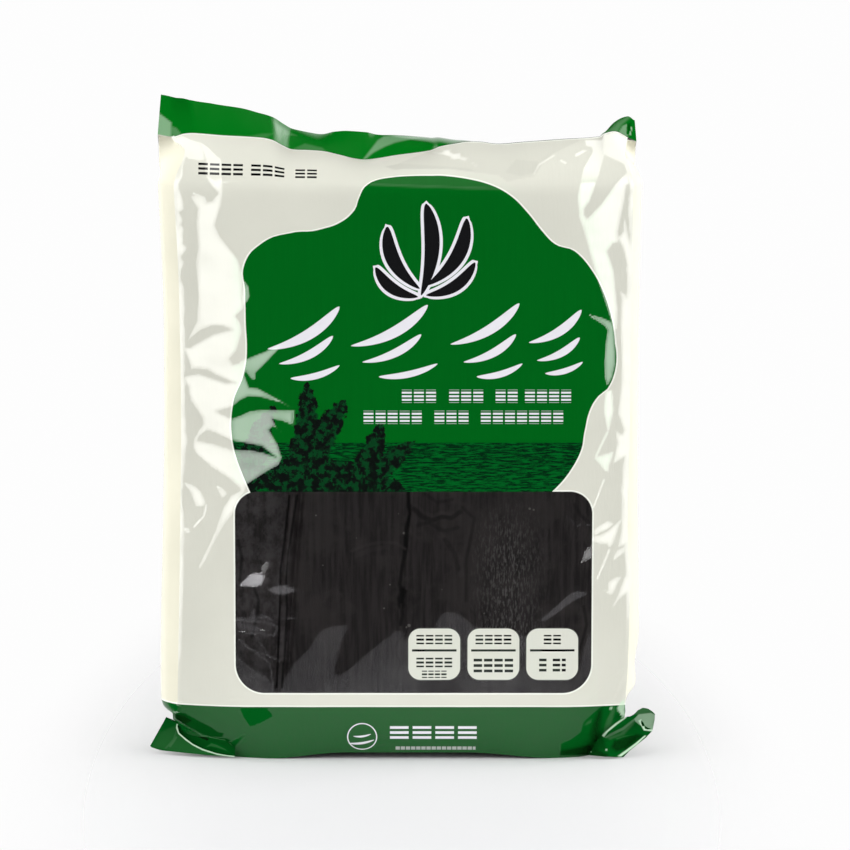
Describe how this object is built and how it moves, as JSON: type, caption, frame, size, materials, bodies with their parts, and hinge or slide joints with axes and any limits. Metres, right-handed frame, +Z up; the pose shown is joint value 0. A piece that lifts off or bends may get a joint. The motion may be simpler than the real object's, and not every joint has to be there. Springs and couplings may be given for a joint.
{
  "type": "pack of dried kelp",
  "caption": "Upright sealed film pack of folded dried kelp, with side gussets, a swept top seal, folded bottom seal ears and a clear window in its face.",
  "frame": {"origin": "middle of the bounding box's bottom, on the surface that the pack stands on", "axes": "+Z up the pack, -Y out of the printed face, +X to the right of someone who looks at the face"},
  "size_m": [0.313, 0.056, 0.4096],
  "materials": {
    "printed_film": "glossy printed film, ivory with green fields",
    "kelp": "dry black-brown kelp with fine fibres"
  },
  "bodies": {
    "root": {"film_pack": "printed_film", "kelp_stack": "kelp", "kelp_sheet_left": "kelp", "kelp_sheet_middle": "kelp", "kelp_sheet_right": "kelp"}
  },
  "joints": []
}
